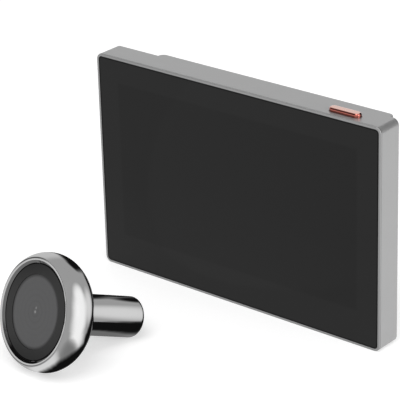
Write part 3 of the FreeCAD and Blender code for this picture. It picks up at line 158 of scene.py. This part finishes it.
# Cards that only mirror-like surfaces see: direction from the screen unit, distance, width and
# height, and how light each one is.
CARDS = {
    "card_behind": dict(azimuth=155.0, elevation=24.0, distance=0.5, size=(0.52, 0.52), level=0.0),
    "card_upper_left": dict(azimuth=-50.0, elevation=38.0, distance=0.6, size=(0.8, 0.66), level=0.16),
    "card_far_left": dict(azimuth=-140.0, elevation=24.0, distance=0.7, size=(0.5, 0.4), level=0.8),
}

# The tent round the camera unit, which only mirror-like surfaces see: its radius, how far behind the
# head's middle its centre lies, how far over the floor it ends, and its facets. Outside it follows the
# floor's light: height over its centre in radii and level, at its foot and higher up. Inside it has a
# plain level and bands of another level. A band has its level, its softness in degrees, and the places
# that it passes by azimuth, elevation and half-width in degrees. Later ones lie on top.
TENT_RADIUS = 52 * MM
TENT_BEHIND = TENT_RADIUS / 8
TENT_OVER_FLOOR = 0.05 * MM
TENT_SEGMENTS = 64
TENT_RINGS = 32
TENT_OUTSIDE = ((-0.35, 1.1), (0.25, 1.2))
TENT_LEVEL = 0.36
BAND_STEP = 6.0
TENT_BANDS = {
    "front": (0.6, 10, ((-55, 2, 36),)),
    "left": (0.56, 10, ((-115, 24, 30),)),
    "foot": (0.46, 10, ((-20, -42, 26),)),
    "grey_foot": (0.16, 8, ((165, -58, 24),)),
    "tube": (0.72, 15, ((134, 6, 14),)),
    "highlight": (1.0, 17, ((101, 37, 8), (94, 22, 17), (86, 3, 18), (80, -13, 9))),
    "shade": (0.2, 14, ((57, -32, 8),)),
    "blob": (0.74, 7, ((8, -38, 11), (20, -34, 12))),
    "behind": (0.006, 5, ((-172, 40, 10), (-161, 27, 14), (-149, 9, 14), (-156, -8, 14),
                          (-168, -22, 10), (-178, -30, 8))),
    "edge": (0.006, 4, ((181, 4, 11), (168, -11, 9), (152, -22, 8), (136, -27, 8), (124, -31, 9),
                        (113, -35, 9))),
    "wedge": (0.006, 4, ((145, -32, 7), (136, -37, 8), (122, -42, 10), (104, -49, 13), (86, -50, 15),
                         (62, -47, 13), (42, -45, 10), (26, -48, 7), (13, -50, 4))),
    "bevel_grey": (0.16, 5, ((-68, -22, 7), (-42, -19, 8), (-27, -13, 8), (-12, 4, 9), (-13, 23, 9))),
    "bevel_shade": (0.05, 5, ((-24, 33, 8), (-40, 38, 9))),
    "bevel_black": (0.006, 4, ((-52, 36, 9), (-64, 31, 9), (-76, 19, 9), (-85, 5, 9), (-93, -9, 9),
                               (-98, -24, 9), (-108, -36, 9))),
    "bevel_right": (0.04, 4, ((-134, -22, 8), (-118, -19, 7), (-100, -20, 7), (-80, -22, 8))),
}

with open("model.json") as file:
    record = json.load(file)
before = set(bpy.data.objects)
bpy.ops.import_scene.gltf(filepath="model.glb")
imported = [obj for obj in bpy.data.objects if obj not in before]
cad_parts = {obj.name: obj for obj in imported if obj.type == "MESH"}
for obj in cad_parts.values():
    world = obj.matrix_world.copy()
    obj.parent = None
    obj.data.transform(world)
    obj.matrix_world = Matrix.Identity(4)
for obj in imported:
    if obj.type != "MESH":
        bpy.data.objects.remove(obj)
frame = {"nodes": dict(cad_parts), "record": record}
record = frame["record"]
cad_low, cad_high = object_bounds()
scene = bpy.context.scene
mounts = {mount["name"]: mount for mount in record["mounts"]}
UNIT_FACING = -Vector(mounts["door_tube"]["axis"]).normalized()


def direction(azimuth, elevation):
    """A unit vector: azimuth 0 points to -Y and 90 to +X, in degrees."""
    turn, lift = math.radians(azimuth), math.radians(elevation)
    return Vector((math.sin(turn) * math.cos(lift), -math.cos(turn) * math.cos(lift), math.sin(lift)))


def put_camera():
    """The camera at the photograph's place, turned by its azimuth, elevation and roll."""
    turn, roll = math.radians(CAMERA_AZIMUTH), math.radians(CAMERA_ROLL)
    back = direction(CAMERA_AZIMUTH, CAMERA_ELEVATION)
    level = Vector((math.cos(turn), math.sin(turn), 0))
    above = back.cross(level)
    right = level * math.cos(roll) + above * math.sin(roll)
    up = back.cross(right)
    camera = bpy.data.objects.new("view", bpy.data.cameras.new("view"))
    scene.collection.objects.link(camera)
    camera.data.sensor_width = SENSOR_WIDTH
    camera.data.lens = CAMERA_LENS
    camera.data.clip_start, camera.data.clip_end = CAMERA_REACH
    axes = Matrix((right, up, back)).transposed().to_4x4()
    camera.matrix_world = Matrix.Translation(CAMERA_PLACE) @ axes
    scene.camera = camera


class Nodes:
    """A node tree, with short calls to add nodes and join them."""

    def __init__(self, tree):
        self.tree = tree

    def add(self, kind, links=None, **settings):
        """A node with its properties set, and its sockets given a value or joined to another's output."""
        made = self.tree.nodes.new("ShaderNode" + kind)
        for key, value in settings.items():
            setattr(made, key, value)
        for key, value in (links or {}).items():
            socket = made.inputs[key]
            if isinstance(value, bpy.types.NodeSocket):
                self.tree.links.new(value, socket)
            else:
                socket.default_value = value
        return made

    def join(self, output, socket):
        """Joins an output to a socket."""
        self.tree.links.new(output, socket)


def grey(level):
    """A grey with full opacity."""
    return (level, level, level, 1.0)


def shaded(colour, factor=1.0):
    """A colour made lighter or darker, with full opacity."""
    return tuple(min(1.0, part * factor) for part in colour) + (1.0,)


def new_material(name):
    """An empty material, its nodes, its shader and the object's own coordinates."""
    material = bpy.data.materials.new(name)
    material.use_nodes = True
    nodes = Nodes(material.node_tree)
    shader = material.node_tree.nodes["Principled BSDF"]
    place = nodes.add("TexCoord").outputs["Object"]
    return material, nodes, shader, place


def bare_material(name):
    """An empty material without a shader, its nodes and the socket of its surface."""
    material = bpy.data.materials.new(name)
    material.use_nodes = True
    nodes = Nodes(material.node_tree)
    nodes.tree.nodes.remove(nodes.tree.nodes["Principled BSDF"])
    return material, nodes, nodes.tree.nodes["Material Output"].inputs["Surface"]


def seen(nodes):
    """1 for what the camera, a mirror or a clear piece looks at, and 0 for what matt surfaces gather."""
    path = nodes.add("LightPath")
    direct = nodes.add("Math", {0: path.outputs["Is Camera Ray"], 1: path.outputs["Is Glossy Ray"]},
                       operation="MAXIMUM")
    both = nodes.add("Math", {0: direct.outputs["Value"], 1: path.outputs["Is Transmission Ray"]},
                     operation="MAXIMUM")
    return both.outputs["Value"]


def mesh_object(name, mesh):
    """An object of the scene from a mesh in the making."""
    data = bpy.data.meshes.new(name)
    mesh.to_mesh(data)
    mesh.free()
    made = bpy.data.objects.new(name, data)
    scene.collection.objects.link(made)
    return made


def finish(name, colour, rough, metal=0.0, mirror=0.5, grain=1.0, relief=0.0, vary=0.08, coat=0.0,
           painted_facing_light=None):
    """A surface with broad change in colour, fine grain in gloss and relief, and painted light by facing.
    """
    material, nodes, shader, place = new_material(name)
    shader.inputs["Metallic"].default_value = metal
    shader.inputs["Specular IOR Level"].default_value = mirror
    shader.inputs["Coat Weight"].default_value = coat
    fine = nodes.add("TexNoise", {"Vector": place, "Scale": 1 / (grain * MM), "Detail": FINE_DETAIL})
    broad = nodes.add("TexNoise", {"Vector": place, "Scale": BROAD_SCALE, "Detail": BROAD_DETAIL})
    tint = nodes.add("MixRGB", {"Fac": broad.outputs["Fac"], "Color1": shaded(colour, 1 - vary),
                                "Color2": shaded(colour, 1 + vary)})
    # Painted light or shade: faces that look along the way take the painted colour.
    if painted_facing_light:
        way, first, whole, other = painted_facing_light
        normal = nodes.add("TexCoord").outputs["Normal"]
        facing = nodes.add("VectorMath", {0: normal, 1: way}, operation="DOT_PRODUCT")
        level = nodes.add("MapRange", {"Value": facing.outputs["Value"], "From Min": first,
                                       "From Max": whole}, interpolation_type="SMOOTHSTEP")
        tint = nodes.add("MixRGB", {"Fac": level.outputs["Result"], "Color1": tint.outputs["Color"],
                                    "Color2": shaded(other)})
    nodes.join(tint.outputs["Color"], shader.inputs["Base Color"])
    least, most = GRAIN_PART
    gloss = nodes.add("MapRange", {"Value": fine.outputs["Fac"], "From Min": least, "From Max": most,
                                   "To Min": rough * (1 - vary), "To Max": rough * (1 + vary)})
    nodes.join(gloss.outputs["Result"], shader.inputs["Roughness"])
    bump = nodes.add("Bump", {"Height": fine.outputs["Fac"], "Distance": relief * MM,
                              "Strength": RELIEF_STRENGTH})
    nodes.join(bump.outputs["Normal"], shader.inputs["Normal"])
    return material


def between(nodes, value, low, high, soft):
    """1 between two limits of a coordinate and 0 outside, with a soft change at each."""
    rise = nodes.add("MapRange", {"Value": value, "From Min": low - soft, "From Max": low + soft},
                     interpolation_type="SMOOTHSTEP")
    fall = nodes.add("MapRange", {"Value": value, "From Min": high - soft, "From Max": high + soft,
                                  "To Min": 1.0, "To Max": 0.0}, interpolation_type="SMOOTHSTEP")
    both = nodes.add("Math", {0: rise.outputs["Result"], 1: fall.outputs["Result"]}, operation="MULTIPLY")
    return both.outputs["Value"]


def glass_finish():
    """Black glass, darker over the display's lit area, and lighter to its foot by a painted reflection.
    """
    material, nodes, shader, place = new_material("black_glass")
    shader.inputs["Specular IOR Level"].default_value = GLASS_MIRROR
    film_low, film_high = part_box("display_panel")
    parts = nodes.add("SeparateXYZ", {"Vector": place})
    across = between(nodes, parts.outputs["X"], film_low.x + LIT_SIDE, film_high.x - LIT_SIDE, LIT_SOFT)
    upward = between(nodes, parts.outputs["Z"], film_low.z + LIT_FOOT, film_high.z - LIT_TOP, LIT_SOFT)
    lit = nodes.add("Math", {0: across, 1: upward}, operation="MULTIPLY")
    tint = nodes.add("MixRGB", {"Fac": lit.outputs["Value"], "Color1": grey(GLASS_ROUND),
                                "Color2": grey(GLASS_LIT)})
    glass_low, glass_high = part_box("front_glass")
    # Painted reflection: the colour grows lighter from the glass's middle down to its foot.
    paler = nodes.add("MapRange", {"Value": parts.outputs["Z"], "From Min": glass_low.z,
                                   "From Max": (glass_low.z + glass_high.z) / 2,
                                   "To Min": 1.0, "To Max": 0.0})
    colour = nodes.add("MixRGB", {"Fac": paler.outputs["Result"], "Color1": tint.outputs["Color"],
                                  "Color2": grey(GLASS_FOOT_REFLECTION)}, blend_type="ADD")
    nodes.join(colour.outputs["Color"], shader.inputs["Base Color"])
    wipe = nodes.add("TexNoise", {"Vector": place, "Scale": WIPE_SCALE})
    gloss = nodes.add("MapRange", {"Value": wipe.outputs["Fac"], "To Min": GLASS_ROUGH[0],
                                   "To Max": GLASS_ROUGH[1]})
    nodes.join(gloss.outputs["Result"], shader.inputs["Roughness"])
    return material


def round_front(name):
    """The centre and the radius of the flat front of a round piece of the camera unit."""
    points = [vertex.co for vertex in frame["nodes"][name].data.vertices]
    low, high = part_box(name)
    centre = (low + high) / 2
    centre += UNIT_FACING * (max(point.dot(UNIT_FACING) for point in points) - centre.dot(UNIT_FACING))
    radius = max(UNIT_FACING.cross(point - centre).length for point in points)
    return centre, radius


def window_finish():
    """A smoked window: a soft grey disc over the lens, with the lens's faint rings and two glints."""
    material, nodes, shader, place = new_material("smoked_window")
    shader.inputs["Specular IOR Level"].default_value = WINDOW_MIRROR
    centre, _ = round_front("camera_window")
    reach = nodes.add("VectorMath", {0: place, 1: tuple(centre)}, operation="DISTANCE")
    radius = reach.outputs["Value"]
    turns = nodes.add("Math", {0: radius, 1: 2 * math.pi / LENS_RING_STEP}, operation="MULTIPLY")
    wave = nodes.add("Math", {0: turns.outputs["Value"]}, operation="SINE")
    near = nodes.add("MapRange", {"Value": radius, "From Min": 0.0, "From Max": LENS_RING_REACH,
                                  "To Min": LENS_RING_LEVELS[0], "To Max": LENS_RING_LEVELS[1]})
    faint = nodes.add("Math", {0: wave.outputs["Value"], 1: near.outputs["Result"]},
                      operation="MULTIPLY")
    fade = nodes.add("MapRange", {"Value": radius, "From Min": WINDOW_FADE[0], "From Max": WINDOW_FADE[1],
                                  "To Min": 1.0, "To Max": WINDOW_OUTSIDE},
                     interpolation_type="SMOOTHSTEP")
    level = nodes.add("Math", {0: faint.outputs["Value"], 1: fade.outputs["Result"]}, operation="ADD")
    tint = nodes.add("MixRGB", {"Fac": level.outputs["Value"], "Color1": shaded(WINDOW_DARK),
                                "Color2": shaded(WINDOW_GREY)}).outputs["Color"]
    upward = UNIT_FACING.cross(UNIT_FACING.cross(Vector((0, 0, -1)))).normalized()
    for rise, size, strength in GLINTS:
        spot = nodes.add("VectorMath", {0: place, 1: tuple(centre + upward * rise)},
                         operation="DISTANCE")
        mask = nodes.add("MapRange", {"Value": spot.outputs["Value"], "From Min": size * GLINT_EDGE[0],
                                      "From Max": size * GLINT_EDGE[1], "To Min": strength,
                                      "To Max": 0.0})
        tint = nodes.add("MixRGB", {"Fac": mask.outputs["Result"], "Color1": tint,
                                    "Color2": grey(1.0)}).outputs["Color"]
    nodes.join(tint, shader.inputs["Base Color"])
    grain = nodes.add("TexNoise", {"Vector": place, "Scale": WINDOW_GRAIN})
    gloss = nodes.add("MapRange", {"Value": grain.outputs["Fac"], "To Min": WINDOW_ROUGH[0],
                                   "To Max": WINDOW_ROUGH[1]})
    nodes.join(gloss.outputs["Result"], shader.inputs["Roughness"])
    return material


def dress_nodes(materials):
    """Gives each CAD node the finish of its slot in the record."""
    for row in record["subparts"]:
        node = frame["nodes"][row["node"]]
        for slot in node.material_slots:
            slot.material = materials[row["material_slot"]]


def outline(low_x, high_x, low_z, high_z, radius):
    """Points round an upright rectangle with round corners, as pairs of x and z."""
    centres = ((high_x - radius, high_z - radius), (low_x + radius, high_z - radius),
               (low_x + radius, low_z + radius), (high_x - radius, low_z + radius))
    points = []
    for corner, (x, z) in enumerate(centres):
        for step in range(CORNER_STEPS + 1):
            angle = (corner + step / CORNER_STEPS) * math.pi / 2
            points.append((x + radius * math.cos(angle), z + radius * math.sin(angle)))
    return points


def band(name, loops, material):
    """A closed band whose section's corners run along loops of equally many points."""
    mesh = bmesh.new()
    loops = [[mesh.verts.new(point) for point in points] for points in loops]
    count = len(loops[0])
    for side, loop in enumerate(loops):
        following = loops[(side + 1) % len(loops)]
        for index in range(count):
            after = (index + 1) % count
            mesh.faces.new((loop[index], following[index], following[after], loop[after]))
    bmesh.ops.recalc_face_normals(mesh, faces=mesh.faces)
    piece = mesh_object(name, mesh)
    piece.data.materials.append(material)
    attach(piece, "root")


def ring(name, box, radius, width, front, back, material):
    """A closed upright ring of the given width inside an outline, between two depths."""
    low_x, high_x, low_z, high_z = box
    outer = outline(low_x, high_x, low_z, high_z, radius)
    inner = outline(low_x + width, high_x - width, low_z + width, high_z - width,
                    max(radius - width, width / 2))
    loops = [[(x, y, z) for x, z in points]
             for points, y in ((outer, front), (outer, back), (inner, back), (inner, front))]
    band(name, loops, material)


def make_groove(dark):
    """A fine black ring of painted shade for the groove between the window's ring and the chrome head."""
    centre, radius = round_front("window_ring")
    side = UNIT_FACING.orthogonal().normalized()
    above = UNIT_FACING.cross(side)
    loops = []
    for reach, height in ((radius, GROOVE_PROUD), (radius, -GROOVE_PROUD),
                          (radius - GROOVE_WIDTH, -GROOVE_PROUD), (radius - GROOVE_WIDTH, GROOVE_PROUD)):
        turns = [2 * math.pi * step / GROOVE_STEPS for step in range(GROOVE_STEPS)]
        loops.append([centre + UNIT_FACING * height + (side * math.cos(turn) + above * math.sin(turn))
                      * reach for turn in turns])
    band("window_groove_shade", loops, dark)


def make_seams(dark):
    """Fine dark lines of painted shade where the bezel meets the tub and round the glass."""
    bezel_low, bezel_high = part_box("front_bezel")
    tub_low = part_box("rear_housing")[0]
    glass_low, glass_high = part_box("front_glass")
    # Painted shade: near-black strips stand proud where the gaps between the parts lie in shade.
    side = (bezel_low.x - SEAM_PROUD, bezel_high.x + SEAM_PROUD,
            bezel_low.z - SEAM_PROUD_FOOT, bezel_high.z + SEAM_PROUD)
    ring("parting_seam_shade", side, BODY_CORNER, 2 * SEAM_PROUD, tub_low.y - SEAM_WIDTH / 2,
         tub_low.y + SEAM_WIDTH / 2, dark)
    edge = (glass_low.x - GLASS_GAP, glass_high.x + GLASS_GAP, glass_low.z - GLASS_GAP,
            glass_high.z + GLASS_GAP)
    ring("glass_hairline_shade", edge, GLASS_CORNER + GLASS_GAP, HAIRLINE_WIDTH, glass_low.y - SEAM_PROUD,
         glass_low.y, dark)


def make_floor():
    """A white floor and backdrop that still take the set's soft shadow."""
    material, nodes, surface = bare_material("floor")
    plain = nodes.add("BsdfDiffuse", {"Color": shaded(FLOOR_COLOUR)})
    glow = nodes.add("Emission", {"Color": grey(1.0), "Strength": FLOOR_GLOW})
    both = nodes.add("AddShader", {0: plain.outputs["BSDF"], 1: glow.outputs["Emission"]})
    mixed = nodes.add("MixShader", {"Fac": seen(nodes), 1: plain.outputs["BSDF"],
                                    2: both.outputs["Shader"]})
    nodes.join(mixed.outputs["Shader"], surface)
    bpy.ops.mesh.primitive_plane_add(size=FLOOR_SIZE, location=(0, 0, cad_low.z - FLOOR_DROP))
    floor = bpy.context.object
    floor.name = "floor"
    floor.data.materials.append(material)


def make_world():
    """A white surround; the light that it gives matt surfaces is softer."""
    world = bpy.data.worlds.new("surround")
    scene.world = world
    world.use_nodes = True
    nodes = Nodes(world.node_tree)
    background = world.node_tree.nodes["Background"]
    background.inputs["Color"].default_value = grey(1.0)
    level = nodes.add("MapRange", {"Value": seen(nodes), "To Min": SURROUND_LEVEL, "To Max": 1.0})
    nodes.join(level.outputs["Result"], background.inputs["Strength"])


def lamp(name, azimuth, elevation, distance, size, power):
    """A square soft lamp that points at the set."""
    light = bpy.data.lights.new(name, "AREA")
    light.size = size
    light.energy = power
    made = bpy.data.objects.new(name, light)
    scene.collection.objects.link(made)
    towards = direction(azimuth, elevation)
    middle = (cad_low + cad_high) / 2
    made.location = middle + towards * distance
    made.rotation_euler = towards.to_track_quat("Z", "Y").to_euler()


def only_mirrored(made):
    """Shown to nothing but mirror-like surfaces."""
    made.visible_camera = False
    made.visible_diffuse = False
    made.visible_shadow = False
    made.visible_transmission = False


def card(name, azimuth, elevation, distance, size, level):
    """A plain card of one level of light that faces the screen unit."""
    screen_low, screen_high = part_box("front_bezel")
    towards = direction(azimuth, elevation)
    place = Matrix.Translation((screen_low + screen_high) / 2 + towards * distance)
    turn = towards.to_track_quat("Z", "Y").to_matrix().to_4x4()
    bpy.ops.mesh.primitive_plane_add(size=1.0)
    made = bpy.context.object
    made.name = name
    made.matrix_world = place @ turn @ Matrix.Diagonal((*size, 1, 1))
    material = bpy.data.materials.new(name)
    material.use_nodes = True
    shader = material.node_tree.nodes["Principled BSDF"]
    shader.inputs["Base Color"].default_value = grey(0.0)
    shader.inputs["Specular IOR Level"].default_value = 0.0
    shader.inputs["Emission Color"].default_value = grey(1.0)
    shader.inputs["Emission Strength"].default_value = level
    made.data.materials.append(material)
    only_mirrored(made)


def along(places):
    """The places of a band, with more between them so that its edges are smooth."""
    yield places[0]
    for before, after in zip(places, places[1:]):
        turn = direction(*before[:2]).angle(direction(*after[:2]))
        steps = max(1, math.ceil(math.degrees(turn) / BAND_STEP))
        for step in range(1, steps + 1):
            yield tuple(a + (b - a) * step / steps for a, b in zip(before, after))


def tent_shell():
    """A sphere round the camera unit, cut just over the floor and closed there."""
    head_low, head_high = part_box("camera_head")
    centre = (head_low + head_high) / 2 - UNIT_FACING * TENT_BEHIND
    mesh = bmesh.new()
    bmesh.ops.create_uvsphere(mesh, u_segments=TENT_SEGMENTS, v_segments=TENT_RINGS, radius=TENT_RADIUS)
    ground = Vector((0, 0, cad_low.z + TENT_OVER_FLOOR - centre.z))
    everything = list(mesh.verts) + list(mesh.edges) + list(mesh.faces)
    cut = bmesh.ops.bisect_plane(mesh, geom=everything, plane_co=ground, plane_no=(0, 0, -1),
                                 clear_outer=True)
    rim = [item for item in cut["geom_cut"] if isinstance(item, bmesh.types.BMEdge)]
    bmesh.ops.contextual_create(mesh, geom=rim)
    bmesh.ops.recalc_face_normals(mesh, faces=mesh.faces)
    tent = mesh_object("tent", mesh)
    tent.location = centre
    return tent


def cloth_level(nodes, ray):
    """The level of the tent's cloth by direction from its centre: the bands over the plain level."""
    level = TENT_LEVEL
    for strength, soft, places in TENT_BANDS.values():
        mask = 0.0
        for azimuth, elevation, width in along(places):
            near = nodes.add("VectorMath", {0: ray, 1: direction(azimuth, elevation)},
                             operation="DOT_PRODUCT")
            outer, inner = width + soft, max(width - soft, 0)
            spot = nodes.add("MapRange", {"Value": near.outputs["Value"],
                                          "From Min": math.cos(math.radians(outer)),
                                          "From Max": math.cos(math.radians(inner))},
                             interpolation_type="SMOOTHSTEP")
            mask = nodes.add("Math", {0: mask, 1: spot.outputs["Result"]},
                             operation="MAXIMUM").outputs["Value"]
        level = nodes.add("MapRange", {"Value": mask, "To Min": level,
                                       "To Max": strength}).outputs["Result"]
    return level


def make_tent():
    """A light tent round the camera unit: graded cloth inside, and the floor's light outside."""
    material, nodes, surface = bare_material("tent")
    place = nodes.add("TexCoord").outputs["Object"]
    ray = nodes.add("VectorMath", {0: place}, operation="NORMALIZE").outputs["Vector"]
    inside = nodes.add("Emission", {"Strength": cloth_level(nodes, ray)})
    (foot, foot_level), (upper, upper_level) = TENT_OUTSIDE
    height = nodes.add("SeparateXYZ", {"Vector": ray}).outputs["Z"]
    graded = nodes.add("MapRange", {"Value": height, "From Min": foot, "From Max": upper,
                                    "To Min": foot_level, "To Max": upper_level})
    outside = nodes.add("Emission", {"Strength": graded.outputs["Result"]})
    side = nodes.add("NewGeometry").outputs["Backfacing"]
    both = nodes.add("MixShader", {"Fac": side, 1: outside.outputs["Emission"],
                                   2: inside.outputs["Emission"]})
    nodes.join(both.outputs["Shader"], surface)
    tent = tent_shell()
    tent.data.materials.append(material)
    only_mirrored(tent)


put_camera()
materials = {name: finish(name, **values) for name, values in FINISHES.items()}
materials["black_glass"] = glass_finish()
materials["smoked_window"] = window_finish()
dress_nodes(materials)
# The groove and the seams are painted shade: near-black strips where the gaps are.
make_groove(materials["painted_gap_shade"])
make_seams(materials["painted_gap_shade"])
make_floor()
make_world()
for name, values in LAMPS.items():
    lamp(name, **values)
for name, values in CARDS.items():
    card(name, **values)
make_tent()
scene.view_settings.view_transform = "Standard"
